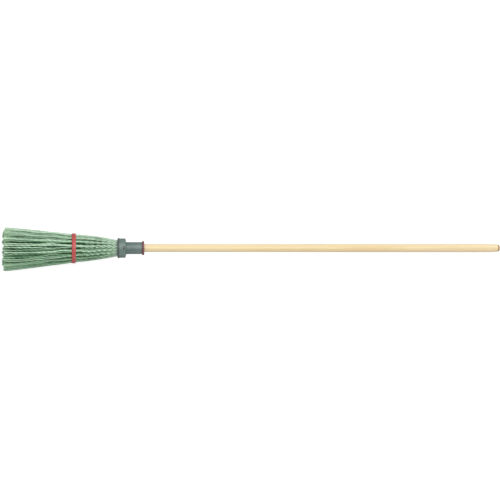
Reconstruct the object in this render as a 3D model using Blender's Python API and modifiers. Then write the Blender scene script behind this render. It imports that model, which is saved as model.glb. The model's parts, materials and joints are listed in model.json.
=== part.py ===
"""A round bundled broom lying on the ground, in metres, with +Z up.

Thirty-six locks of green plastic bristle are fused into tapered plugs, which sit in a drilled
plate inside a grey collar. A tie band is wedged round the bristles. The socket neck is screwed
to the collar, and a split red sleeve inside it grips the wooden pole.

Every piece is modelled along one straight line, the broom's axis, with heights measured from
the bristle tips. The axis hangs from one empty, which is leaned so that the tips and the far
end of the pole both touch the ground. The tips point to -X and the pole to +X.
"""

import math
import random

import bmesh
import bpy
from mathutils import Matrix, Vector

# The bundle of bristles
BRISTLE_LENGTH = 0.348  # from the tips to the collar's mouth
BUNDLE_TIP_RADIUS = 0.0672
BUNDLE_BEND_RADIUS = 0.0362
BEND_DEPTH = 0.073  # from the collar's mouth to where the bristles straighten
TIP_DRIFT = 0.0036  # how far the worn tips sweep to one side
TIP_SETBACK = 0.0085  # how much shorter the outer strands are
TIP_RAGGED = 0.006  # the most that a strand's length varies
PRESSED_FLAT = 0.0005  # how deep the ground presses into the lowest tips

# Tufts, each a tapered plug of fused bristle with strands below it
INNER_RING_RADIUS = 0.0072
MIDDLE_RING_RADIUS = 0.0146
OUTER_RING_RADIUS = 0.0219
PLUG_ROOT_RADIUS = 0.0025
PLUG_HEAD_RADIUS = 0.0029
PLUG_STEP = 0.0003  # how far a plug stands proud of the plate's upper face
PLUG_TAIL = 0.004  # how far a plug reaches below the plate
STRAND_GAP = 0.00034
RING_COUNTS = (6, 12, 18)
RING_TURN_SHARES = (0.5, 0, 0.5)  # of a ring's spacing, so that two outer tufts straddle the ground
STRANDS = 10
BEND_FILL_SHARE = 1.12  # how much a tuft fills out, against the spread of the rings
TIP_FILL_SHARE = 1.3
BEND_SWELL_SHARE = 1.35  # a strand stands for a lock of bristles that loosens downwards
TIP_SWELL_SHARE = 2.2
REACH_SHARES = (1.28, 0.72)  # strands lie in turn further out and further in

# Tie band
BAND_HEIGHT = 0.2166  # from the tips to the band's middle
BAND_WIDTH = 0.012
BAND_WALL = 0.0018
BAND_CLEARANCE = 0.0004
BAND_ROUNDING = 0.0006
BAND_SKEW = math.radians(0.66)

# Collar
COLLAR_LENGTH = 0.0228
COLLAR_RADIUS = 0.0291
COLLAR_BORE_RADIUS = 0.0263
COLLAR_MOUTH_RADIUS = 0.0252
LIP_RADIUS = 0.0301
LIP_WIDTH = 0.0056
LIP_ROUNDING = 0.0011
COLLAR_ROUNDING = 0.0005

# Plate and retainer
PLATE_SETBACK = 0.006  # from the collar's mouth to the plate
PLATE_THICKNESS = 0.006
RETAINER_THICKNESS = 0.0016

# Socket neck
RIM_HEIGHT = 0.0012
SHOULDER_RISE = 0.0036
NECK_RADIUS = 0.018
NECK_LENGTH = 0.0501  # from the collar to the sleeve's flange
NECK_ROUNDING = 0.0005
FILLET = 0.0014
FLOOR_SETBACK = 0.0042  # how far the socket's floor lies above the collar
SOCKET_ROOT_RADIUS = 0.0147
SOCKET_MOUTH_RADIUS = 0.0153
SOCKET_CHAMFER = 0.0005

# Grip sleeve
SLEEVE_FLANGE_RADIUS = 0.0211
SLEEVE_FLANGE_THICKNESS = 0.0066
SLEEVE_ROUNDING = 0.0012
SLEEVE_SETBACK = 0.0046  # from the socket's floor to the sleeve
SLOT_WIDTH = 0.0022
SLOT_LENGTH = 0.034
SLOT_COUNT = 4

# Pole
POLE_RADIUS = 0.012
POLE_LENGTH = 1.1144
POLE_SETBACK = 0.0055  # from the socket's floor to the pole
POLE_CHAMFER = 0.001
POLE_TAPER_LENGTH = 0.034
POLE_TAPER_RADIUS = 0.0115
POLE_DOME_LENGTH = 0.011
POLE_FLAT_RADIUS = 0.0042
DOME_STEPS = 5

# Screws
CENTRE_SHANK_RADIUS = 0.002
CENTRE_HEAD_RADIUS = 0.0044
CENTRE_HEAD_HEIGHT = 0.0026
CENTRE_TIP_SETBACK = 0.001  # from the plate's lower face to the screw's tip
SIDE_SHANK_RADIUS = 0.0015
SIDE_SHANK_LENGTH = 0.0072
SIDE_HEAD_RADIUS = 0.0031
SIDE_HEAD_HEIGHT = 0.0012
SCREW_POINT = 0.0015
SCREW_ROUNDING = 0.0005
DRIVE_WIDTH = 0.0008
DRIVE_DEPTH = 0.0007

# Fits
GAP = 0.0003  # between pieces that seat on each other
OVERRUN = 0.004  # how far a cutter passes the surface that it opens
MERGE = 0.00001

# Facets
ROUND_STEPS = 32
SCREW_STEPS = 12
CORNER_STEPS = 2
SHARP_ANGLE = math.radians(35)
FULL_TURN = math.tau
QUARTER_TURN = math.tau / 4
RAGGED_SEED = 7

# Heights along the axis, from the bristle tips
MOUTH = BRISTLE_LENGTH
BEND = MOUTH - BEND_DEPTH
COLLAR_END = MOUTH + COLLAR_LENGTH
PLATE_BASE = MOUTH + PLATE_SETBACK
PLATE_TOP = PLATE_BASE + PLATE_THICKNESS
PLUG_ROOT = PLATE_BASE - PLUG_TAIL
PLUG_TOP = PLATE_TOP + PLUG_STEP
RETAINER_BASE = PLUG_TOP + GAP
SPIGOT_BASE = RETAINER_BASE + RETAINER_THICKNESS + GAP
NECK_RIM = COLLAR_END + GAP
NECK_END = NECK_RIM + NECK_LENGTH
SOCKET_FLOOR = NECK_RIM + FLOOR_SETBACK
SLEEVE_BASE = SOCKET_FLOOR + SLEEVE_SETBACK
SLEEVE_SEAT = NECK_END + GAP
POLE_BASE = SOCKET_FLOOR + POLE_SETBACK
SIDE_SCREW_HEIGHT = (SPIGOT_BASE + COLLAR_END) / 2
PLUG_LENGTH = PLUG_TOP - PLUG_ROOT
SPIGOT_RADIUS = COLLAR_BORE_RADIUS - GAP

# Colours in 8-bit sRGB
GREEN = (124, 152, 127)
GREY_GREEN = (121, 141, 134)
BAND_RED = (200, 92, 92)
SLEEVE_RED = (130, 82, 82)
PALE_WOOD = (244, 224, 182)
ZINC = (150, 156, 158)
BLACK_PLASTIC = (62, 66, 66)


def linear(channel):
    """An 8-bit sRGB channel as a linear share of light."""
    share = channel / 255
    return share / 12.92 if share <= 0.04045 else ((share + 0.055) / 1.055) ** 2.4


def material(name, colour, roughness, metallic=0.0):
    made = bpy.data.materials.new(name)
    made.use_nodes = True
    shader = made.node_tree.nodes["Principled BSDF"]
    shader.inputs["Base Color"].default_value = (*map(linear, colour), 1.0)
    shader.inputs["Roughness"].default_value = roughness
    shader.inputs["Metallic"].default_value = metallic
    made.diffuse_color = (*map(linear, colour), 1.0)
    return made


def clear_scene():
    for old in list(bpy.data.objects):
        bpy.data.objects.remove(old, do_unlink=True)


def collection(name):
    made = bpy.data.collections.new(name)
    bpy.context.scene.collection.children.link(made)
    return made


def placed(name, mesh, group, axis, height=0.0, finish=None):
    """A new object on the broom's axis, at a height above the bristle tips."""
    made = bpy.data.objects.new(name, mesh)
    group.objects.link(made)
    made.parent = axis
    made.location.z = height
    if finish:
        mesh.materials.append(finish)
    return made


def as_cutter(cutter):
    cutter.hide_render = True
    cutter.display_type = "WIRE"
    return cutter


def softened(corners):
    """The outline's points, with each (radius, height, rounding) corner rounded."""
    points = []
    for i, (radius, height, rounding) in enumerate(corners):
        corner = Vector((radius, height))
        if rounding == 0:
            points.append(corner)
            continue
        before = Vector(corners[i - 1][:2]) - corner
        after = Vector(corners[(i + 1) % len(corners)][:2]) - corner
        reach = rounding / math.tan(before.angle(after) / 2)
        reach = min(reach, before.length / 2, after.length / 2)
        start = corner + before.normalized() * reach
        end = corner + after.normalized() * reach
        for step in range(CORNER_STEPS + 1):
            t = step / CORNER_STEPS
            points.append(start.lerp(corner, t).lerp(corner.lerp(end, t), t))
    return points


def outline_mesh(name, points, closed):
    mesh = bpy.data.meshes.new(name)
    bm = bmesh.new()
    verts = [bm.verts.new((radius, 0, height)) for radius, height in points]
    for first, second in zip(verts, verts[1:]):
        bm.edges.new((first, second))
    if closed:
        bm.edges.new((verts[-1], verts[0]))
    bm.to_mesh(mesh)
    bm.free()
    return mesh


def turned(name, corners, group, axis, height=0.0, finish=None, steps=ROUND_STEPS):
    """A turned piece. Its outline runs down the outer side; it is a ring where it is clear of the axis."""
    ring = all(radius > 0 for radius, _, _ in corners)
    mesh = outline_mesh(name, softened(corners), ring)
    made = placed(name, mesh, group, axis, height, finish)
    screw = made.modifiers.new("turn", "SCREW")
    screw.axis = "Z"
    screw.angle = FULL_TURN
    screw.steps = screw.render_steps = steps
    screw.use_merge_vertices = True
    screw.merge_threshold = MERGE
    return made


def cut(piece, cutter):
    step = piece.modifiers.new(cutter.name, "BOOLEAN")
    step.operation = "DIFFERENCE"
    step.solver = "EXACT"
    step.object = cutter


def baked(piece):
    """Applies the piece's modifiers and shades its round faces smooth."""
    bpy.context.view_layer.update()
    graph = bpy.context.evaluated_depsgraph_get()
    mesh = bpy.data.meshes.new_from_object(piece.evaluated_get(graph))
    piece.modifiers.clear()
    piece.data = mesh
    mesh.name = piece.name
    mesh.shade_smooth()
    mesh.set_sharp_from_angle(angle=SHARP_ANGLE)
    return piece


def bundle_radius(height):
    """The bundle's outer radius: one cone up to the bend, and a steeper one from it to the plugs."""
    if height < BEND:
        share = height / BEND
        return BUNDLE_TIP_RADIUS + (BUNDLE_BEND_RADIUS - BUNDLE_TIP_RADIUS) * share
    share = (height - BEND) / (PLUG_ROOT - BEND)
    root_radius = OUTER_RING_RADIUS + PLUG_ROOT_RADIUS
    return BUNDLE_BEND_RADIUS + (root_radius - BUNDLE_BEND_RADIUS) * share


def drift_at(height):
    return Vector((0, -TIP_DRIFT * max(BEND - height, 0) / BEND, 0))


def plug_radius(height):
    """A plug's radius at a height above its root."""
    share = height / PLUG_LENGTH
    return PLUG_ROOT_RADIUS + (PLUG_HEAD_RADIUS - PLUG_ROOT_RADIUS) * share


def tuft_spots():
    """Where the tufts stand, as (radius, angle), ring by ring from the middle."""
    spots = []
    radii = (INNER_RING_RADIUS, MIDDLE_RING_RADIUS, OUTER_RING_RADIUS)
    for count, radius, turn_share in zip(RING_COUNTS, radii, RING_TURN_SHARES):
        spots += [(radius, FULL_TURN * (i + turn_share) / count) for i in range(count)]
    return spots


def spot_matrix(radius, angle):
    """Carries a tuft's own frame to its spot, with one of its strands facing outwards."""
    turn = Matrix.Rotation(angle, 4, "Z")
    first_strand = Matrix.Rotation(-FULL_TURN / STRANDS / 2, 4, "Z")
    return turn @ Matrix.Translation((radius, 0, 0)) @ first_strand


def lay_section(face, centre, swell):
    old = face.calc_center_median()
    for vert in face.verts:
        vert.co = centre + (vert.co - old) * swell


def grow_strand(bm, face, spot, reach, tip_height):
    """Runs one strand from its root to the bend and on to its tip."""
    root = face.calc_center_median()
    offset = Vector((root.x, root.y, 0))
    to_axis = spot_matrix(*spot)
    from_axis = to_axis.inverted()
    ring_centre = to_axis.translation
    across = (to_axis.to_3x3() @ offset)
    ends = []
    for height, fill, swell, further in (
        (BEND, BEND_FILL_SHARE, BEND_SWELL_SHARE, 1 + (reach - 1) / 2),
        (0, TIP_FILL_SHARE, TIP_SWELL_SHARE, reach),
    ):
        spread = bundle_radius(height) / (OUTER_RING_RADIUS + PLUG_ROOT_RADIUS * fill)
        centre = ring_centre * spread + across * (spread * fill * further) + drift_at(height)
        centre.z = height - PLUG_ROOT
        ends.append((centre, swell))
    (bend, bend_swell), (tip, tip_swell) = ends
    tip = tip.lerp(bend, tip_height / BEND)
    for centre, swell in ((bend, bend_swell), (tip, tip_swell / bend_swell)):
        face = bmesh.ops.extrude_discrete_faces(bm, faces=[face])["faces"][0]
        lay_section(face, from_axis @ centre, swell)


def tuft_mesh(name, spot, ragged):
    """A fused plug with its root at the origin, and a ring of strands grown from its lower face."""
    mesh = bpy.data.meshes.new(name)
    bm = bmesh.new()
    bmesh.ops.create_cone(
        bm,
        cap_ends=True,
        segments=STRANDS,
        radius1=PLUG_ROOT_RADIUS,
        radius2=PLUG_HEAD_RADIUS,
        depth=PLUG_LENGTH,
        matrix=Matrix.Translation((0, 0, PLUG_LENGTH / 2)),
    )
    root = min(bm.faces, key=lambda face: face.calc_center_median().z)
    roots = bmesh.ops.poke(bm, faces=[root])["faces"]
    bmesh.ops.inset_individual(bm, faces=roots, thickness=STRAND_GAP / 2)
    roots.sort(key=lambda face: math.atan2(face.calc_center_median().y, face.calc_center_median().x) % FULL_TURN)
    ring_share = spot[0] / OUTER_RING_RADIUS
    for i, face in enumerate(roots):
        tip_height = TIP_SETBACK * ring_share**2 + TIP_RAGGED * ragged.random()
        grow_strand(bm, face, spot, REACH_SHARES[i % len(REACH_SHARES)], tip_height)
    bmesh.ops.recalc_face_normals(bm, faces=bm.faces)
    bm.to_mesh(mesh)
    bm.free()
    return mesh


def make_tufts(parts, axis, finish):
    ragged = random.Random(RAGGED_SEED)
    tufts = []
    for i, spot in enumerate(tuft_spots()):
        name = f"bristle_tuft_{i + 1:02d}"
        tuft = placed(name, tuft_mesh(name, spot, ragged), parts, axis, finish=finish)
        tuft.matrix_local = Matrix.Translation((0, 0, PLUG_ROOT)) @ spot_matrix(*spot)
        tufts.append(tuft)
    return tufts


def plate_holes(cutters, axis):
    """Tapered holes that clear the plugs, and one for the centre screw, as one cutter."""
    low = PLUG_TAIL - OVERRUN
    high = PLUG_LENGTH + OVERRUN
    mesh = bpy.data.meshes.new("plate_holes")
    bm = bmesh.new()
    for spot in tuft_spots():
        bmesh.ops.create_cone(
            bm,
            cap_ends=True,
            segments=STRANDS,
            radius1=plug_radius(low) + GAP,
            radius2=plug_radius(high) + GAP,
            depth=high - low,
            matrix=spot_matrix(*spot) @ Matrix.Translation((0, 0, (low + high) / 2)),
        )
    bmesh.ops.create_cone(
        bm,
        cap_ends=True,
        segments=SCREW_STEPS,
        radius1=CENTRE_SHANK_RADIUS + GAP,
        radius2=CENTRE_SHANK_RADIUS + GAP,
        depth=high - low,
        matrix=Matrix.Translation((0, 0, (low + high) / 2)),
    )
    bm.to_mesh(mesh)
    bm.free()
    return as_cutter(placed("plate_holes", mesh, cutters, axis, PLUG_ROOT))


def make_plate(parts, cutters, axis, finish):
    corners = [
        (0, PLATE_THICKNESS, 0),
        (SPIGOT_RADIUS, PLATE_THICKNESS, 0),
        (SPIGOT_RADIUS, 0, 0),
        (0, 0, 0),
    ]
    plate = turned("tuft_plate", corners, parts, axis, PLATE_BASE, finish)
    cut(plate, plate_holes(cutters, axis))
    return baked(plate)


def make_retainer(parts, axis, finish):
    hole = CENTRE_SHANK_RADIUS + GAP
    corners = [
        (SPIGOT_RADIUS, RETAINER_THICKNESS, 0),
        (SPIGOT_RADIUS, 0, 0),
        (hole, 0, 0),
        (hole, RETAINER_THICKNESS, 0),
    ]
    return baked(turned("retainer_disc", corners, parts, axis, RETAINER_BASE, finish))


def make_band(parts, axis, finish):
    """The band's bore follows the cone of the bristles that it is wedged on."""
    half = BAND_WIDTH / 2
    lower_bore = bundle_radius(BAND_HEIGHT - half) + BAND_CLEARANCE
    upper_bore = bundle_radius(BAND_HEIGHT + half) + BAND_CLEARANCE
    outer = (lower_bore + upper_bore) / 2 + BAND_WALL
    corners = [
        (outer, half, BAND_ROUNDING),
        (outer, -half, BAND_ROUNDING),
        (lower_bore, -half, 0),
        (upper_bore, half, 0),
    ]
    band = turned("tie_band", corners, parts, axis, BAND_HEIGHT, finish)
    band.location += drift_at(BAND_HEIGHT)
    band.rotation_euler.x = BAND_SKEW
    return baked(band)


def side_screw_matrix(side):
    """Carries a screw along its own Z to a seat in the collar, pointing inwards; side is 1 below and -1 above."""
    turn = Matrix.Rotation(-QUARTER_TURN * side, 4, "Y")
    return Matrix.Translation((COLLAR_RADIUS * side, 0, SIDE_SCREW_HEIGHT)) @ turn


def side_screw_cutters(cutters, axis):
    """A counterbore for each head in the collar, and a pilot hole for each shank into the neck's spigot."""
    made = []
    sink = SIDE_HEAD_HEIGHT + GAP
    seat = SIDE_HEAD_RADIUS + GAP
    pilot = SIDE_SHANK_RADIUS + GAP
    deep = SIDE_HEAD_HEIGHT + SIDE_SHANK_LENGTH + GAP
    corners = [
        (0, deep, 0),
        (pilot, deep, 0),
        (pilot, sink, 0),
        (seat, sink, 0),
        (seat, -OVERRUN, 0),
        (0, -OVERRUN, 0),
    ]
    for name, side in (("lower_screw_hole", 1), ("upper_screw_hole", -1)):
        hole = turned(name, corners, cutters, axis, steps=SCREW_STEPS)
        hole.matrix_local = side_screw_matrix(side)
        made.append(as_cutter(hole))
    return made


def make_collar(parts, axis, finish, holes):
    plate_seat = PLATE_SETBACK - GAP
    step = LIP_RADIUS - COLLAR_RADIUS
    corners = [
        (COLLAR_RADIUS, COLLAR_LENGTH, COLLAR_ROUNDING),
        (COLLAR_RADIUS, LIP_WIDTH + step, 0),
        (LIP_RADIUS, LIP_WIDTH, 0),
        (LIP_RADIUS, 0, LIP_ROUNDING),
        (COLLAR_MOUTH_RADIUS, 0, COLLAR_ROUNDING),
        (COLLAR_MOUTH_RADIUS, plate_seat, 0),
        (COLLAR_BORE_RADIUS, plate_seat, 0),
        (COLLAR_BORE_RADIUS, COLLAR_LENGTH, 0),
    ]
    collar = turned("bristle_collar", corners, parts, axis, MOUTH, finish)
    for hole in holes:
        cut(collar, hole)
    return baked(collar)


def make_neck(parts, axis, finish, holes):
    """The neck's heights are measured from its rim, which rests on the collar."""
    spigot = SPIGOT_BASE - NECK_RIM
    floor = SOCKET_FLOOR - NECK_RIM
    screw_hole = CENTRE_SHANK_RADIUS + GAP
    corners = [
        (NECK_RADIUS, NECK_LENGTH, NECK_ROUNDING),
        (NECK_RADIUS, SHOULDER_RISE + FILLET, FILLET),
        (COLLAR_RADIUS, RIM_HEIGHT, 0),
        (COLLAR_RADIUS, 0, 0),
        (SPIGOT_RADIUS, 0, 0),
        (SPIGOT_RADIUS, spigot, 0),
        (screw_hole, spigot, 0),
        (screw_hole, floor, 0),
        (SOCKET_ROOT_RADIUS, floor, 0),
        (SOCKET_MOUTH_RADIUS, NECK_LENGTH - SOCKET_CHAMFER, 0),
        (SOCKET_MOUTH_RADIUS + SOCKET_CHAMFER, NECK_LENGTH, 0),
    ]
    neck = turned("socket_neck", corners, parts, axis, NECK_RIM, finish)
    for hole in holes:
        cut(neck, hole)
    return baked(neck)


def socket_radius(height):
    """The socket's radius at a height along the axis: it narrows towards its floor."""
    share = (height - SOCKET_FLOOR) / (NECK_END - SOCKET_FLOOR)
    return SOCKET_ROOT_RADIUS + (SOCKET_MOUTH_RADIUS - SOCKET_ROOT_RADIUS) * share


def sleeve_slots(cutters, axis):
    """Boxes through the sleeve's wall, open at its lower end."""
    made = []
    width_share = FULL_TURN / SLOT_COUNT
    for i in range(SLOT_COUNT // 2):
        mesh = bpy.data.meshes.new(f"sleeve_slot_{i + 1}")
        bm = bmesh.new()
        bmesh.ops.create_cube(bm, size=1)
        across = (SOCKET_MOUTH_RADIUS + OVERRUN) * 2
        bmesh.ops.scale(bm, vec=(across, SLOT_WIDTH, SLOT_LENGTH + OVERRUN), verts=bm.verts)
        bm.to_mesh(mesh)
        bm.free()
        slot = placed(mesh.name, mesh, cutters, axis, SLEEVE_BASE + (SLOT_LENGTH - OVERRUN) / 2)
        slot.rotation_euler.z = width_share * (i + 0.5)
        made.append(as_cutter(slot))
    return made


def make_sleeve(parts, cutters, axis, finish):
    """A split sleeve that the tapered socket squeezes onto the pole."""
    bore = POLE_RADIUS + GAP
    seat = SLEEVE_SEAT - SLEEVE_BASE
    top = seat + SLEEVE_FLANGE_THICKNESS
    corners = [
        (SLEEVE_FLANGE_RADIUS, top, SLEEVE_ROUNDING),
        (SLEEVE_FLANGE_RADIUS, seat, SLEEVE_ROUNDING),
        (socket_radius(NECK_END) - GAP, seat, 0),
        (socket_radius(SLEEVE_BASE) - GAP, 0, 0),
        (bore, 0, 0),
        (bore, top, 0),
    ]
    sleeve = turned("grip_sleeve", corners, parts, axis, SLEEVE_BASE, finish)
    for slot in sleeve_slots(cutters, axis):
        cut(sleeve, slot)
    return baked(sleeve)


def dome_corners():
    """The pole's far end: a quarter ellipse from the taper to a small flat."""
    corners = []
    widest = POLE_TAPER_RADIUS - POLE_FLAT_RADIUS
    base = POLE_LENGTH - POLE_DOME_LENGTH
    for step in range(DOME_STEPS + 1):
        angle = QUARTER_TURN * (1 - step / DOME_STEPS)
        radius = POLE_FLAT_RADIUS + widest * math.cos(angle)
        corners.append((radius, base + POLE_DOME_LENGTH * math.sin(angle), 0))
    return corners


def make_pole(parts, axis, finish):
    taper_start = POLE_LENGTH - POLE_DOME_LENGTH - POLE_TAPER_LENGTH
    corners = [
        (0, POLE_LENGTH, 0),
        *dome_corners(),
        (POLE_RADIUS, taper_start, 0),
        (POLE_RADIUS, POLE_CHAMFER, 0),
        (POLE_RADIUS - POLE_CHAMFER, 0, 0),
        (0, 0, 0),
    ]
    return baked(turned("handle_pole", corners, parts, axis, POLE_BASE, finish))


def cross_recess(name, cutters, screw):
    """Two crossed slots in a screw's head, which faces down its own Z axis."""
    made = []
    for i in range(2):
        mesh = bpy.data.meshes.new(f"{name}_recess_{i + 1}")
        bm = bmesh.new()
        bmesh.ops.create_cube(bm, size=1)
        long = screw["head_radius"]
        bmesh.ops.scale(bm, vec=(long, DRIVE_WIDTH, (DRIVE_DEPTH + OVERRUN)), verts=bm.verts)
        bm.to_mesh(mesh)
        bm.free()
        slot = bpy.data.objects.new(mesh.name, mesh)
        cutters.objects.link(slot)
        slot.parent = screw["axis"]
        lift = Matrix.Translation((0, 0, (DRIVE_DEPTH - OVERRUN) / 2))
        slot.matrix_local = screw["matrix"] @ lift @ Matrix.Rotation(QUARTER_TURN * i, 4, "Z")
        made.append(as_cutter(slot))
    return made


def make_screw(name, parts, cutters, axis, finish, sizes, matrix):
    """A screw with its head's top at its origin and its shank running up its own Z axis."""
    head_radius, head_height, shank_radius, shank_length = sizes
    end = head_height + shank_length
    corners = [
        (0, end, 0),
        (shank_radius / 2, end, 0),
        (shank_radius, end - SCREW_POINT, 0),
        (shank_radius, head_height, 0),
        (head_radius, head_height, 0),
        (head_radius, 0, SCREW_ROUNDING),
        (0, 0, 0),
    ]
    screw = turned(name, corners, parts, axis, finish=finish, steps=SCREW_STEPS)
    screw.matrix_local = matrix
    recess = {"head_radius": head_radius, "axis": axis, "matrix": matrix}
    for slot in cross_recess(name, cutters, recess):
        cut(screw, slot)
    return baked(screw)


def make_screws(parts, cutters, axis, finish):
    centre_head = SOCKET_FLOOR + GAP + CENTRE_HEAD_HEIGHT
    centre_length = SOCKET_FLOOR + GAP - PLATE_BASE - CENTRE_TIP_SETBACK
    sizes = (CENTRE_HEAD_RADIUS, CENTRE_HEAD_HEIGHT, CENTRE_SHANK_RADIUS, centre_length)
    down = Matrix.Translation((0, 0, centre_head)) @ Matrix.Rotation(QUARTER_TURN * 2, 4, "X")
    make_screw("centre_screw", parts, cutters, axis, finish, sizes, down)
    sizes = (SIDE_HEAD_RADIUS, SIDE_HEAD_HEIGHT, SIDE_SHANK_RADIUS, SIDE_SHANK_LENGTH - GAP)
    for name, side in (("collar_screw_lower", 1), ("collar_screw_upper", -1)):
        make_screw(name, parts, cutters, axis, finish, sizes, side_screw_matrix(side))


def lowest_tips(tufts):
    """Each tuft's lowest point in the axis frame, whose +X faces the ground, lowest first."""
    tips = []
    for tuft in tufts:
        points = [tuft.matrix_local @ vert.co for vert in tuft.data.vertices]
        tips.append(max(points, key=lambda point: point.x))
    return sorted(tips, key=lambda point: -point.x)


def seat_on_ground(axis, tufts):
    """Leans the axis so that two tufts and the pole's far end rest on the ground."""
    bearing = lowest_tips(tufts)[1]
    dome = POLE_BASE + POLE_LENGTH - POLE_DOME_LENGTH
    drop = bearing.x - PRESSED_FLAT - POLE_TAPER_RADIUS
    lean = math.atan2(drop, dome - bearing.z)
    rise = POLE_TAPER_RADIUS * math.cos(lean) + dome * math.sin(lean)
    axis.rotation_euler = (0, QUARTER_TURN + lean, 0)
    axis.location = (0, 0, rise)
    bpy.context.view_layer.update()


def press_tips(tufts):
    """Flattens the bristle tips that would sink into the ground."""
    for tuft in tufts:
        to_world = tuft.matrix_world
        to_own = to_world.inverted()
        for vert in tuft.data.vertices:
            point = to_world @ vert.co
            if point.z < 0:
                point.z = 0
                vert.co = to_own @ point


def centre_on_origin(axis, pieces):
    """Moves the broom along the ground until its box is centred on the origin."""
    corners = [piece.matrix_world @ vert.co for piece in pieces for vert in piece.data.vertices]
    middle = [(min(values) + max(values)) / 2 for values in zip(*corners)]
    axis.location.x -= middle[0]
    axis.location.y -= middle[1]
    bpy.context.view_layer.update()


def build_broom():
    clear_scene()
    parts = collection("wide_floor_broom")
    cutters = collection("cutters")
    axis = bpy.data.objects.new("broom_axis", None)
    parts.objects.link(axis)

    green = material("bristle_green", GREEN, 0.55)
    grey = material("grey_green_plastic", GREY_GREEN, 0.5)
    inner = material("black_plastic", BLACK_PLASTIC, 0.6)
    steel = material("zinc_steel", ZINC, 0.35, 1.0)

    tufts = make_tufts(parts, axis, green)
    make_plate(parts, cutters, axis, inner)
    make_retainer(parts, axis, inner)
    make_band(parts, axis, material("band_red", BAND_RED, 0.45))
    holes = side_screw_cutters(cutters, axis)
    make_collar(parts, axis, grey, holes)
    make_neck(parts, axis, grey, holes)
    make_sleeve(parts, cutters, axis, material("sleeve_red", SLEEVE_RED, 0.45))
    make_pole(parts, axis, material("pale_wood", PALE_WOOD, 0.5))
    make_screws(parts, cutters, axis, steel)

    seat_on_ground(axis, tufts)
    press_tips(tufts)
    centre_on_origin(axis, [piece for piece in parts.objects if piece.type == "MESH"])


build_broom()
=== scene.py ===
import json
import math

import bpy
import numpy as np
from mathutils import Matrix, Vector


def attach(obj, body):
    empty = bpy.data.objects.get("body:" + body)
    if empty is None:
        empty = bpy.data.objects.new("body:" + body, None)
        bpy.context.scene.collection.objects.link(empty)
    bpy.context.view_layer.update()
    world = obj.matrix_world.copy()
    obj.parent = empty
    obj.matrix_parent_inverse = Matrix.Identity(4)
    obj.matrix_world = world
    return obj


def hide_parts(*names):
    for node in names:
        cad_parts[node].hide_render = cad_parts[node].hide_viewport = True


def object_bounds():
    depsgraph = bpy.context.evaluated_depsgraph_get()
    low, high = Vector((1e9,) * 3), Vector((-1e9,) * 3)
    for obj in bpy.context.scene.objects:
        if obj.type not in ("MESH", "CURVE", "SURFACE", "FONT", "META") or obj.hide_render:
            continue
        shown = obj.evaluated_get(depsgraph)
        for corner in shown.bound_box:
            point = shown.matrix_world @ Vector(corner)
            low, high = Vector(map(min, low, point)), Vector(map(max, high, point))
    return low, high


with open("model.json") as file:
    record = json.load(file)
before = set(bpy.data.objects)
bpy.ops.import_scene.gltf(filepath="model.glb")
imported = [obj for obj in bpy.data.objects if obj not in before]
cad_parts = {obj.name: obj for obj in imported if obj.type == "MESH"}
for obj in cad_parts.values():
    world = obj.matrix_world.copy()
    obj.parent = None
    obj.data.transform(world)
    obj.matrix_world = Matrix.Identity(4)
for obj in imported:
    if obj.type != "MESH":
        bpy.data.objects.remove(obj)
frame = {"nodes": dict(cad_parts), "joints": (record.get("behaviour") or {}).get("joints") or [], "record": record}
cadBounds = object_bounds()

# Everything is modelled standing up: heights run from the bristle tips to the end of the pole.
# The broom then lies down along the line that the pole slides on.
broom = {
    "length": 1.4952,
    "slide": "handle_pull",
    "endMark": "pole_end",
}


def lineOfBroom():
    slide = next(joint for joint in frame["joints"] if joint["name"] == broom["slide"])
    mark = next(mount for mount in frame["record"]["mounts"] if mount["name"] == broom["endMark"])
    along = Vector(slide["axis"]).normalized()
    across = Vector((0, 1, 0))
    down = across.cross(along)
    tips = Vector(mark["pos_m"]) - along * broom["length"]
    return Matrix.Translation(tips) @ Matrix((down, across, along)).transposed().to_4x4()


layDown = lineOfBroom()

shaping = {
    "mergeDistance": 0.000005,
    "ringSearch": 0.00002,  # how far an edge may lie from the ring that is looked for
    "smoothAngle": math.radians(32),
}


def startClean():
    if bpy.context.mode != "OBJECT":
        bpy.ops.object.mode_set(mode="OBJECT")
    bpy.ops.object.select_all(action="DESELECT")


def onlySelect(piece):
    startClean()
    piece.select_set(True)
    bpy.context.view_layer.objects.active = piece


def editAll():
    # edit mode, with the whole mesh selected
    bpy.ops.object.mode_set(mode="EDIT")
    bpy.ops.mesh.select_all(action="SELECT")


def turnOutline(name, outline, sides):
    # one ring, extruded and resized from point to point; a solid starts and ends on a flat face
    startClean()
    radius, height = outline[0]
    closed = outline[0] == outline[-1]
    fill = "NOTHING" if closed else "NGON"
    bpy.ops.mesh.primitive_circle_add(vertices=sides, radius=radius, fill_type=fill, location=(0, 0, height))
    piece = bpy.context.object
    piece.name = piece.data.name = name
    bpy.ops.object.transform_apply()
    editAll()
    for nextRadius, nextHeight in outline[1:]:
        share = nextRadius / radius
        bpy.ops.mesh.extrude_region_move(TRANSFORM_OT_translate={"value": (0, 0, nextHeight - height)})
        bpy.ops.transform.resize(value=(share, share, 1), center_override=(0, 0, nextHeight))
        radius, height = nextRadius, nextHeight
    bpy.ops.mesh.select_all(action="SELECT")
    bpy.ops.mesh.remove_doubles(threshold=shaping["mergeDistance"])
    bpy.ops.mesh.normals_make_consistent(inside=False)
    bpy.ops.object.mode_set(mode="OBJECT")
    return piece


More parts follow.
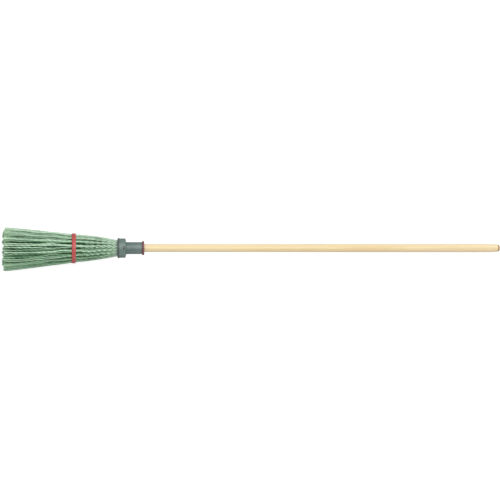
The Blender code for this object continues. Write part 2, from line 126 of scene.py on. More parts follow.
def roundRings(piece, rings, width, segments=3):
    # bevels the edges that run round at each (radius, height)
    onlySelect(piece)
    bpy.ops.object.mode_set(mode="EDIT")
    bpy.ops.mesh.select_mode(type="EDGE")
    bpy.ops.mesh.select_all(action="DESELECT")
    bpy.ops.object.mode_set(mode="OBJECT")
    mesh = piece.data
    near = shaping["ringSearch"]
    for edge in mesh.edges:
        ends = [mesh.vertices[i].co for i in edge.vertices]
        for radius, height in rings:
            if all(abs(end.xy.length - radius) < near and abs(end.z - height) < near for end in ends):
                edge.select = True
    bpy.ops.object.mode_set(mode="EDIT")
    bpy.ops.mesh.bevel(offset=width, segments=segments, affect="EDGES", clamp_overlap=True)
    bpy.ops.object.mode_set(mode="OBJECT")


def carve(piece, place):
    # the newest object is set in its place and cut out of the piece
    cutter = bpy.context.object
    cutter.matrix_world = place
    onlySelect(piece)
    step = piece.modifiers.new("carve", "BOOLEAN")
    step.operation = "DIFFERENCE"
    step.solver = "EXACT"
    step.object = cutter
    bpy.ops.object.modifier_apply(modifier=step.name)
    bpy.data.objects.remove(cutter, do_unlink=True)


def putInPlace(piece, place):
    piece.matrix_world = place @ piece.matrix_world
    onlySelect(piece)
    bpy.ops.object.transform_apply()


def addToScene(name, data):
    item = bpy.data.objects.new(name, data)
    bpy.context.scene.collection.objects.link(item)
    return item


def finishPiece(piece, finish, body, slotName, *nodes):
    onlySelect(piece)
    bpy.ops.object.shade_smooth_by_angle(angle=shaping["smoothAngle"])
    piece.data.materials.clear()
    piece.data.materials.append(finish)
    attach(piece, body)
    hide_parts(*nodes)


# Materials

noiseRange = (0.3, 0.7)  # where nearly all values of a noise texture lie
surfaceSpans = {
    "rubbedEdge": (0.5, 0.53),  # pointiness where rubbing starts and is full
    "rubbedPatches": (0.35, 0.65),
    "facingUp": (-0.2, 1.0),
    "dustPatches": (0.4, 0.75),
}


def newMaterial(name, values):
    material = bpy.data.materials.new(name)
    material.use_nodes = True
    shader = material.node_tree.nodes["Principled BSDF"]
    for socket, value in values.items():
        shader.inputs[socket].default_value = value
    return material, material.node_tree, shader


def addNode(tree, kind, settings=None, values=None):
    node = tree.nodes.new("ShaderNode" + kind)
    for name, value in (settings or {}).items():
        setattr(node, name, value)
    for socket, value in (values or {}).items():
        node.inputs[socket].default_value = value
    return node


def feed(tree, socket, value):
    # an input takes a link from another node, or a value of its own
    if isinstance(value, bpy.types.NodeSocket):
        tree.links.new(value, socket)
    else:
        socket.default_value = value


def calculate(tree, operation, first, second=0.0, third=0.0):
    # one maths step; each input is a socket or a number
    node = addNode(tree, "Math", {"operation": operation})
    for socket, value in zip(node.inputs, (first, second, third)):
        feed(tree, socket, value)
    return node.outputs[0]


def times(tree, first, second):
    return calculate(tree, "MULTIPLY", first, second)


def mixColours(tree, share, first, second, blend="MIX"):
    node = addNode(tree, "Mix", {"data_type": "RGBA", "blend_type": blend})
    for socket, value in ((node.inputs[0], share), (node.inputs[6], first), (node.inputs[7], second)):
        feed(tree, socket, value)
    return node.outputs[2]


def spreadOver(tree, value, low, high, newLow=0.0, newHigh=1.0, smooth=False):
    kind = "SMOOTHSTEP" if smooth else "LINEAR"
    node = addNode(tree, "MapRange", {"interpolation_type": kind})
    tree.links.new(value, node.inputs[0])
    for i, number in enumerate((low, high, newLow, newHigh)):
        node.inputs[i + 1].default_value = number
    return node.outputs[0]


def noiseOn(tree, vector, scale, detail=3.0, roughness=0.55):
    node = addNode(tree, "TexNoise", values={"Detail": detail, "Roughness": roughness})
    tree.links.new(vector, node.inputs["Vector"])
    feed(tree, node.inputs["Scale"], scale)
    return node.outputs[0]


def dressShader(tree, shader, base, rough, relief, strength, depth):
    # what changes over the surface: colour, roughness, and a bump from the relief
    bump = addNode(tree, "Bump", values={"Strength": strength, "Distance": depth})
    tree.links.new(relief, bump.inputs["Height"])
    for name, value in (("Base Color", base), ("Roughness", rough), ("Normal", bump.outputs[0])):
        tree.links.new(value, shader.inputs[name])


def colour(red, green, blue):
    # 0 to 255 as on a colour picker
    shares = [value / 255 for value in (red, green, blue)]
    return tuple(s / 12.92 if s <= 0.04045 else ((s + 0.055) / 1.055) ** 2.4 for s in shares) + (1.0,)


def newGroup(name, inputs, outputs):
    # a socket called Vector carries a vector, and each of the others a number
    group = bpy.data.node_groups.new(name, "ShaderNodeTree")
    for side, labels in (("INPUT", inputs), ("OUTPUT", outputs)):
        for label in labels:
            kind = "NodeSocketVector" if label == "Vector" else "NodeSocketFloat"
            socket = group.interface.new_socket(label, in_out=side, socket_type=kind)
            if side == "INPUT" and label != "Vector":
                socket.default_value = inputs[label]
    return group, group.nodes.new("NodeGroupInput").outputs, group.nodes.new("NodeGroupOutput").inputs


def useGroup(tree, group, values):
    node = addNode(tree, "Group", {"node_tree": group})
    for label, value in values.items():
        feed(tree, node.inputs[label], value)
    return node.outputs


def makeBroomLineGroup():
    # object coordinates turned to the broom's own line: height from the tips, distance from the line
    group, _, leave = newGroup("broomLine", {}, ("Vector", "Height", "Radius"))
    where = addNode(group, "TexCoord")
    lying = {"Location": layDown.translation, "Rotation": layDown.to_euler()}
    turn = addNode(group, "Mapping", {"vector_type": "TEXTURE"}, lying)
    group.links.new(where.outputs["Object"], turn.inputs["Vector"])
    parts = addNode(group, "SeparateXYZ")
    group.links.new(turn.outputs[0], parts.inputs[0])
    square = times(group, parts.outputs[0], parts.outputs[0])
    square = calculate(group, "MULTIPLY_ADD", parts.outputs[1], parts.outputs[1], square)
    group.links.new(turn.outputs[0], leave["Vector"])
    group.links.new(parts.outputs[2], leave["Height"])
    group.links.new(calculate(group, "SQRT", square), leave["Radius"])
    return group


def makeMouldedGrainGroup():
    # the fine pebble of a moulded surface, with slow mottling from the melt's flow
    inputs = {"Vector": None, "Grain Scale": 900.0, "Mottle Scale": 60.0}
    group, enter, leave = newGroup("mouldedGrain", inputs, ("Grain", "Mottle"))
    fine = noiseOn(group, enter["Vector"], enter["Grain Scale"], detail=4.0, roughness=0.6)
    slow = noiseOn(group, enter["Vector"], enter["Mottle Scale"], detail=3.0, roughness=0.5)
    group.links.new(fine, leave["Grain"])
    group.links.new(spreadOver(group, slow, *noiseRange), leave["Mottle"])
    return group


def makeEdgeWearGroup():
    # rubbed edges, broken up by noise
    inputs = {"Vector": None, "Amount": 0.5, "Scale": 300.0}
    group, enter, leave = newGroup("edgeWear", inputs, ("Wear",))
    shape = addNode(group, "NewGeometry")
    edge = spreadOver(group, shape.outputs["Pointiness"], *surfaceSpans["rubbedEdge"], smooth=True)
    cloud = noiseOn(group, enter["Vector"], enter["Scale"], detail=3.0, roughness=0.6)
    rubbed = times(group, edge, spreadOver(group, cloud, *surfaceSpans["rubbedPatches"]))
    group.links.new(times(group, rubbed, enter["Amount"]), leave["Wear"])
    return group


def makeDustGroup():
    # pale dust that lies on what faces up
    inputs = {"Vector": None, "Amount": 0.2, "Scale": 120.0}
    group, enter, leave = newGroup("fineDust", inputs, ("Dust",))
    shape = addNode(group, "NewGeometry")
    facing = addNode(group, "SeparateXYZ")
    group.links.new(shape.outputs["Normal"], facing.inputs[0])
    up = spreadOver(group, facing.outputs[2], *surfaceSpans["facingUp"])
    cloud = noiseOn(group, enter["Vector"], enter["Scale"], detail=6.0, roughness=0.65)
    settled = times(group, up, spreadOver(group, cloud, *surfaceSpans["dustPatches"]))
    group.links.new(times(group, settled, enter["Amount"]), leave["Dust"])
    return group


broomLine = makeBroomLineGroup()
mouldedGrain = makeMouldedGrainGroup()
edgeWear = makeEdgeWearGroup()
fineDust = makeDustGroup()
print("shared node groups are ready")


def paintedShadeMask(tree, line, look):
    # painted shade at the collar's mouth and down in the screw pockets
    edge = noiseOn(tree, line["Vector"], look["paintedShadeScale"])
    height = calculate(tree, "MULTIPLY_ADD", edge, look["paintedShadeWander"], line["Height"])
    lip, face = look["paintedShadeHeight"], look["paintedShadeRadius"]
    mouth = spreadOver(tree, height, lip, lip + look["paintedShadeFade"], 1.0, 0.0, smooth=True)
    sunk = spreadOver(tree, line["Radius"], face - look["paintedShadeEdge"], face, 1.0, 0.0, smooth=True)
    amount = spreadOver(tree, edge, *look["paintedShadeShares"])
    return times(tree, calculate(tree, "MAXIMUM", mouth, sunk), amount)


def makeMouldedPlastic(name, look):
    gloss = {"IOR": look["refraction"], "Specular IOR Level": look["shine"]}
    material, tree, shader = newMaterial(name, gloss)
    line = useGroup(tree, broomLine, {})
    where = line["Vector"]
    scales = {"Vector": where, "Grain Scale": look["grainScale"], "Mottle Scale": look["mottleScale"]}
    grain = useGroup(tree, mouldedGrain, scales)
    wear = useGroup(tree, edgeWear, {"Vector": where, "Amount": look["wear"]})
    dust = useGroup(tree, fineDust, {"Vector": where, "Amount": look["dust"]})
    base = mixColours(tree, grain["Mottle"], look["dark"], look["pale"])
    base = mixColours(tree, wear["Wear"], base, look["rubbed"])
    base = mixColours(tree, dust["Dust"], base, look["dustColour"])
    # painted shade at the collar's mouth and in its screw pockets
    if "paintedShadeColour" in look:
        base = mixColours(tree, paintedShadeMask(tree, line, look), base, look["paintedShadeColour"])
    least, most = look["roughness"] - look["smoother"], look["roughness"] + look["rougher"]
    rough = spreadOver(tree, grain["Grain"], *noiseRange, least, most)
    rough = calculate(tree, "MULTIPLY_ADD", dust["Dust"], look["dustRoughness"], rough)
    dressShader(tree, shader, base, rough, grain["Grain"], look["bumpStrength"], look["grainDepth"])
    return material


plasticLook = {
    "refraction": 1.49,
    "shine": 0.5,
    "smoother": 0.06,  # how far the grain varies the roughness, down and up
    "rougher": 0.08,
    "bumpStrength": 0.6,
    "wear": 0.5,
    "dust": 0.12,
    "dustRoughness": 0.4,
}
# the neck's copy of the grey-green plastic, painted darker than the collar's as painted shade
greyLook = dict(
    plasticLook,
    pale=colour(87, 110, 105),
    dark=colour(75, 98, 93),
    rubbed=colour(128, 146, 139),
    dustColour=colour(160, 168, 162),
    roughness=0.34,
    shine=0.8,
    grainScale=1300.0,
    grainDepth=0.00008,
    mottleScale=70.0,
    dust=0.18,
)
# the collar's copy of the same grey-green plastic, paler than the neck's
collarLook = dict(
    greyLook,
    pale=colour(97, 121, 114),
    dark=colour(84, 107, 101),
    # painted shade: dark colour at the collar's mouth and in its screw pockets
    paintedShadeColour=colour(48, 60, 55),
    paintedShadeShares=(0.2, 0.8, 0.7, 0.85),  # two noise values, and how dark the painted shade is at each
    paintedShadeHeight=0.3527,  # the painted shade at the mouth ends at the back of the lip
    paintedShadeFade=0.0009,
    paintedShadeWander=0.0006,
    paintedShadeScale=420.0,
    paintedShadeRadius=0.0288,  # and the painted shade fills what is sunk below the collar's face
    paintedShadeEdge=0.0005,
)
sleeveLook = dict(
    plasticLook,
    pale=colour(120, 72, 76),
    dark=colour(100, 56, 62),
    rubbed=colour(150, 96, 100),
    dustColour=colour(160, 140, 138),
    roughness=0.4,
    grainScale=1500.0,
    grainDepth=0.00006,
    mottleScale=90.0,
)
bandLook = dict(
    plasticLook,
    pale=colour(188, 62, 67),
    dark=colour(172, 49, 45),
    rubbed=colour(208, 112, 110),
    dustColour=colour(200, 168, 162),
    roughness=0.38,
    grainScale=1100.0,
    grainDepth=0.00007,
    mottleScale=45.0,
    wear=0.45,
)
innerLook = dict(
    plasticLook,
    pale=colour(70, 74, 74),
    dark=colour(52, 56, 56),
    rubbed=colour(96, 100, 100),
    dustColour=colour(150, 152, 148),
    roughness=0.55,
    shine=0.4,
    grainScale=1000.0,
    grainDepth=0.0001,
    mottleScale=80.0,
    wear=0.4,
    dust=0.2,
)

greyPlastic = makeMouldedPlastic("greyGreenPlastic", greyLook)
collarPlastic = makeMouldedPlastic("greyGreenCollar", collarLook)
sleevePlastic = makeMouldedPlastic("darkRedPlastic", sleeveLook)
bandPlastic = makeMouldedPlastic("tieBandRed", bandLook)
innerPlastic = makeMouldedPlastic("innerBlackPlastic", innerLook)

bristleLook = {
    "pale": colour(229, 254, 230),
    "deep": colour(135, 188, 142),
    "faded": colour(176, 206, 180),
    "fadedScale": 40.0,
    "fadedSpan": (0.35, 0.65),
    "fadedShare": 0.2,
    "tip": colour(221, 249, 214),
    "tipScale": 26.0,
    "tipPatches": (0.4, 0.6, 0.25, 1.0),  # two noise values, and how much of it shows at each
    "inside": colour(98, 142, 108),  # painted shade: multiplies the colour deep inside the bundle
    "dust": colour(192, 206, 200),
    "crimp": 0.0165,  # length of the bristle's own crimp; painted shade darkens its troughs
    # two heights, and how strong the effect is at each
    "tipShares": (0.0, 0.055, 0.7, 0.0),
    "insideShares": (0.004, 0.04, 0.12, 1.0),
    "crimpShares": (0.22, 0.29, 0.12, 0.4),
    "liftShares": (0.28, 0.33, 0.0, 0.25),  # paler beside the collar
    "dustShares": (0.332, 0.346, 0.0, 0.4),
    "fineCrimp": 0.0078,
    "fineDepth": 0.00045,
    "smoothest": 0.35,
    "roughest": 0.5,
}


def makeBristleMaterial(look):
    material, tree, shader = newMaterial("crimpedGreenBristle", {"IOR": 1.5, "Specular IOR Level": 0.55})
    tint, height, phase, depth = (
        addNode(tree, "Attribute", {"attribute_name": name}).outputs["Fac"]
        for name in ("tint", "height", "phase", "depth")
    )
    tips, inside, crimps, lift, dusty = (
        spreadOver(tree, height, *look[name + "Shares"], smooth=True)
        for name in ("tip", "inside", "crimp", "lift", "dust")
    )
    where = useGroup(tree, broomLine, {})["Vector"]
    base = mixColours(tree, calculate(tree, "ADD", tint, lift), look["deep"], look["pale"])
    slow = noiseOn(tree, where, look["fadedScale"], detail=2.0)
    slow = spreadOver(tree, slow, *look["fadedSpan"])
    base = mixColours(tree, times(tree, slow, look["fadedShare"]), base, look["faded"])
    patches = noiseOn(tree, where, look["tipScale"], detail=2.0)
    patches = spreadOver(tree, patches, *look["tipPatches"])
    base = mixColours(tree, times(tree, tips, patches), base, look["tip"])
    fine = calculate(tree, "MULTIPLY_ADD", height, math.tau / look["fineCrimp"], phase)
    crest = spreadOver(tree, calculate(tree, "SINE", fine), -1.0, 1.0)
    # painted shade along the crimp: darker in its troughs, most beside the collar
    wave = calculate(tree, "MULTIPLY_ADD", height, -math.tau / look["crimp"], phase)
    trough = spreadOver(tree, calculate(tree, "SINE", wave), 1.0, -1.0)
    shade = calculate(tree, "SUBTRACT", 1.0, times(tree, crimps, trough))
    toned = addNode(tree, "CombineColor")
    for socket in toned.inputs:
        tree.links.new(shade, socket)
    base = mixColours(tree, 1.0, base, toned.outputs[0], "MULTIPLY")
    # painted shade deep inside the bundle, weaker at the open tips
    base = mixColours(tree, times(tree, depth, inside), base, look["inside"], "MULTIPLY")
    base = mixColours(tree, dusty, base, look["dust"])
    rough = spreadOver(tree, slow, 0.0, 1.0, look["smoothest"], look["roughest"])
    dressShader(tree, shader, base, rough, crest, 1.0, look["fineDepth"])
    return material


bristlePlastic = makeBristleMaterial(bristleLook)

woodLook = {
    "pale": colour(245, 228, 188),
    "warm": colour(236, 212, 162),
    "line": colour(216, 184, 136),
    "endGrain": colour(156, 122, 70),
    "fleck": colour(168, 128, 86),
    "stretch": 0.035,  # draws the grain out along the pole
    "wanderScale": 55.0,
    "fibreScale": 900.0,
    "poreScale": 2200.0,
    "vesselScale": 3200.0,
    "rings": {"Scale": 72.0, "Distortion": 5.0, "Detail": 2.0, "Detail Scale": 0.6},
    # two values of the pattern, and how much of the mark shows at each
    "ringLines": (0.55, 1.0, 0.0, 0.32),
    "fibreLines": (0.5, 0.8, 0.0, 0.3),
    "pores": (0.68, 0.76, 0.0, 0.5),
    "vessels": (0.45, 0.75, 0.0, 1.0),
    "endRings": (0.5, 1.0, 0.0, 0.6),
    "endStart": 1.4870,  # height where the turned end's grain shows
    "endFade": 0.004,
    "endRoughness": 0.2,
    "smoothest": 0.34,
    "roughest": 0.52,
    "bumpStrength": 0.5,
    "bumpDepth": 0.00012,
}


def makeWoodMaterial(look):
    material, tree, shader = newMaterial("sealedPaleWood", {"IOR": 1.47, "Specular IOR Level": 0.45})
    line = useGroup(tree, broomLine, {})
    stretch = addNode(tree, "Mapping", values={"Scale": (1.0, 1.0, look["stretch"])})
    tree.links.new(line["Vector"], stretch.inputs["Vector"])
    grown = stretch.outputs[0]
    wander, pores, vessels = (
        noiseOn(tree, grown, look[name + "Scale"], detail=2.0, roughness=0.5)
        for name in ("wander", "pore", "vessel")
    )
    fibre = noiseOn(tree, grown, look["fibreScale"], detail=4.0, roughness=0.6)
    # growth rings of a stick sawn from a board: planes bent by slow noise
    planes = {"wave_type": "BANDS", "bands_direction": "X"}
    rings = addNode(tree, "TexWave", planes, look["rings"])
    tree.links.new(grown, rings.inputs["Vector"])
    ring = rings.outputs[1]
    ringLines = spreadOver(tree, ring, *look["ringLines"], smooth=True)
    fibreLines = spreadOver(tree, fibre, *look["fibreLines"])
    pores = spreadOver(tree, pores, *look["pores"])
    base = mixColours(tree, spreadOver(tree, wander, *noiseRange), look["pale"], look["warm"])
    for share, name in ((ringLines, "line"), (fibreLines, "line"), (pores, "fleck")):
        base = mixColours(tree, share, base, look[name])
    vessels = spreadOver(tree, vessels, *look["vessels"])
    ends = mixColours(tree, vessels, look["endGrain"], look["line"])
    endRings = spreadOver(tree, ring, *look["endRings"], smooth=True)
    ends = mixColours(tree, endRings, ends, look["fleck"])
    start = look["endStart"]
    atEnd = spreadOver(tree, line["Height"], start, start + look["endFade"], smooth=True)
    base = mixColours(tree, atEnd, base, ends)
    rough = spreadOver(tree, fibre, *noiseRange, look["smoothest"], look["roughest"])
    rough = calculate(tree, "MULTIPLY_ADD", atEnd, look["endRoughness"], rough)
    relief = calculate(tree, "SUBTRACT", fibre, pores)
    dressShader(tree, shader, base, rough, relief, look["bumpStrength"], look["bumpDepth"])
    return material


sealedWood = makeWoodMaterial(woodLook)

zincLook = {
    # zinc grey, painted much darker as painted shade for the collar's screw pockets
    "dark": colour(58, 72, 67),
    "pale": colour(92, 106, 100),
    "rubbed": colour(150, 160, 156),
    "cloudScale": 700.0,
    "wear": 0.7,
    "wearScale": 900.0,
    "smoothest": 0.28,
    "roughest": 0.46,
    "bumpStrength": 0.4,
    "bumpDepth": 0.00005,
}


def makeZincMaterial(look):
    material, tree, shader = newMaterial("zincPlatedSteel", {"Metallic": 1.0})
    where = useGroup(tree, broomLine, {})["Vector"]
    cloudy = noiseOn(tree, where, look["cloudScale"], detail=4.0, roughness=0.65)
    wear = useGroup(tree, edgeWear, {"Vector": where, "Amount": look["wear"], "Scale": look["wearScale"]})
    base = mixColours(tree, cloudy, look["dark"], look["pale"])
    base = mixColours(tree, wear["Wear"], base, look["rubbed"])
    rough = spreadOver(tree, cloudy, *noiseRange, look["smoothest"], look["roughest"])
    dressShader(tree, shader, base, rough, cloudy, look["bumpStrength"], look["bumpDepth"])
    return material


zincSteel = makeZincMaterial(zincLook)
print("materials are ready")

# Bristles

bundle = {
    "tipRadius": 0.0666,
    "bendRadius": 0.0362,
    "bendHeight": 0.275,
    "rootRadius": 0.0244,
    "rootHeight": 0.350,
    "bendSoftness": 0.0008,
    "drift": 0.0036,  # the worn tips lean to one side
    "rings": ((6, 0.0072, 0.5), (12, 0.0146, 0.0), (18, 0.0219, 0.5)),  # tufts, ring radius, turn
    "bandHeight": 0.2166,
    "bulge": 0.0011,  # how far the bristles swell out on both sides of the band
    "bulgeReach": 0.024,
    "bulgeTips": 0.03,  # it dies away below this height, and above the next
    "bulgeRoot": 0.31,
}
tuft = {
    "bristles": 60,
    "sides": 3,
    "segments": 76,
    "rootCloseness": 0.35,  # the segments are shorter beside the collar, where the crimp is deepest
    "thickness": 0.0014,
    "frayed": 0.25,  # how much wider the worn ends are
    "frayedFrom": (0.6, 0.95),  # shares of the length between which they widen
    "tipTaper": 0.7,
    "plugRadius": 0.0025,
    "plugHeadRadius": 0.0029,
    "plugTop": 0.3603,
    "plugSides": 16,
    "plugRounding": 0.0003,
    "plugTint": 0.3,
    "spiral": 0.381966,  # share of a turn from one bristle's root to the next
    # the middles of a tuft's smaller bunches, its locks: outwards, sideways
    "lockPlaces": ((0.5, -0.68), (0.55, 0.0), (0.5, 0.68), (-0.5, -0.42), (-0.5, 0.42)),
    "lockWander": 0.1,
    "lockStart": (0.21, 0.12),  # where the locks begin to part, from the first to the last
    "lockReach": 0.06,
    "flare": 0.3,  # how much thicker a tuft grows towards the tips
    "outerSwell": 1.25,
    "innerSwell": 1.08,
    # share of its room that a tuft fills sideways: at the root, and its changes from height to height
    "sideShare": 0.65,
    "sideChanges": ((0.30, bundle["rootHeight"], 0.338), (-0.34, 0.338, 0.285), (0.39, 0.20, 0.12)),
    "gather": 0.8,  # how tightly a lock pulls its bristles in sideways
    "gatherOut": 0.2,  # and in and out
    "gatherLeast": 0.35,  # share of that above where the locks part
    "tipOpening": 0.3,  # how much they open again at the tips
    "tipOpeningReach": 0.02,
    "tipStart": 0.0004,
    "ragged": 0.0008,
    "lobe": 0.0034,  # a lock ends rounded, so its outer bristles are shorter
    "lobeWidth": 0.36,
    "lockRagged": 0.0072,  # few locks keep their full length
    "lockPower": 5,
    "lockShift": 0.162,  # and which of them do
    "cornerCut": 0.004,  # the worn face slants back at both sides
    "cornerStart": 0.7,  # from this share of the half width outwards
    "trim": 0.00005,  # the longest bristles end this far inside the CAD box
    "groundGap": 0.0001,  # the lowest are pressed flat, this far above the ground
    "groundKeep": 0.2,  # and keep this share of their own height
    "edgeSoftness": 0.0006,
    "leastReach": 0.0001,  # keeps a bristle on the middle line from dividing by zero
    "wave": 0.0011,  # sideways swing shared by a lock
    "waveKnots": 9,
    "ownWave": 0.0005,
    "ownKnots": 20,
    "swingStart": (0.01, 0.07),  # distances from the root between which the swings grow
    "bandHold": 0.7,  # how much the band stills them
    "bandReach": 0.02,
    "bow": 0.0006,
    "strayBow": 0.004,
    "bowTurns": (0.5, 1.3),
    "crimp": bristleLook["crimp"],
    "crimpDepth": 0.00055,
    "crimpStart": 0.02,
    "rootCrimp": 0.9,  # how much deeper it is beside the collar
    "rootCrimpFade": (0.21, 0.27),
    "slant": 1.2,  # how far the crimp runs ahead across a lock
    "lockPhase": 0.5,  # and how much it differs between locks and bristles
    "ownPhase": 0.4,
    "lockFacing": 0.5,
    "ownFacing": 0.3,
    "closeIn": 0.25,
    "closeStart": 0.30,
    "strays": 0.05,  # share of bristles that leave their lock
    "strayGather": 0.1,
    "streaks": 4.5,  # paler and deeper runs across a tuft
    "lockTint": 0.5,  # how much of the tint goes by lock, streak and bristle
    "streakTint": 0.3,
    "ownTint": 0.2,
    "tintSpread": (0.1, 0.75),
    "paintedSideShade": 0.43,  # painted shade: how much deeper the green is on the side of the broom away from the key light
    "shadeDepth": 0.009,  # how far in the painted shade reaches its darkest
    "seed": 400,
}


def bundleRadius(height):
    # two cones, the steeper one towards the plate, blended where they meet
    b = bundle
    low = b["tipRadius"] + (b["bendRadius"] - b["tipRadius"]) * height / b["bendHeight"]
    slope = (b["bendRadius"] - b["rootRadius"]) / (b["rootHeight"] - b["bendHeight"])
    high = b["rootRadius"] + slope * (b["rootHeight"] - height)
    soft = b["bendSoftness"]
    least = np.minimum(low, high)
    cone = least - soft * np.log1p(np.exp(-np.abs(low - high) / soft))
    swell = 1 - np.exp(-((height - b["bandHeight"]) / b["bulgeReach"]) ** 2)
    swell = swell * smoothStep(height, 0.0, b["bulgeTips"])
    swell = swell * smoothStep(-height, -b["rootHeight"], -b["bulgeRoot"])
    return cone + b["bulge"] * swell


def modelBristle():
    # one straight bristle of unit length, root at zero, extruded ring by ring
    startClean()
    bpy.ops.mesh.primitive_circle_add(vertices=tuft["sides"], radius=tuft["thickness"] / 2, fill_type="NGON")
    bristle = bpy.context.object
    bristle.name = bristle.data.name = "bristle"
    editAll()
    for _ in range(tuft["segments"]):
        bpy.ops.mesh.extrude_region_move(TRANSFORM_OT_translate={"value": (0, 0, 1 / tuft["segments"])})
    taper = tuft["tipTaper"]
    bpy.ops.transform.resize(value=(taper, taper, 1), center_override=(0, 0, 1))
    bpy.ops.mesh.select_all(action="SELECT")
    bpy.ops.mesh.normals_make_consistent(inside=False)
    bpy.ops.object.mode_set(mode="OBJECT")
    return bristle


def modelPlug():
    startClean()
    depth = tuft["plugTop"] - bundle["rootHeight"]
    bpy.ops.mesh.primitive_cone_add(
        vertices=tuft["plugSides"],
        radius1=tuft["plugRadius"],
        radius2=tuft["plugHeadRadius"],
        depth=depth,
        location=(0, 0, bundle["rootHeight"] + depth / 2),
    )
    plug = bpy.context.object
    bpy.ops.object.transform_apply()
    editAll()
    bpy.ops.mesh.bevel(offset=tuft["plugRounding"], segments=2, affect="EDGES")
    bpy.ops.object.mode_set(mode="OBJECT")
    return plug


def smoothStep(values, low, high):
    share = np.clip((values - low) / (high - low), 0, 1)
    return share * share * (3 - 2 * share)


def slowSwing(chance, rows, knots, steps):
    # smooth random wandering in two directions, through a few random knots
    values = chance.normal(0, 1, (rows, knots + 1, 2))
    place = np.linspace(0, knots, steps + 1)
    below = np.minimum(place.astype(int), knots - 1)
    share = smoothStep(place - below, 0, 1)[None, :, None]
    return values[:, below] + (values[:, below + 1] - values[:, below]) * share


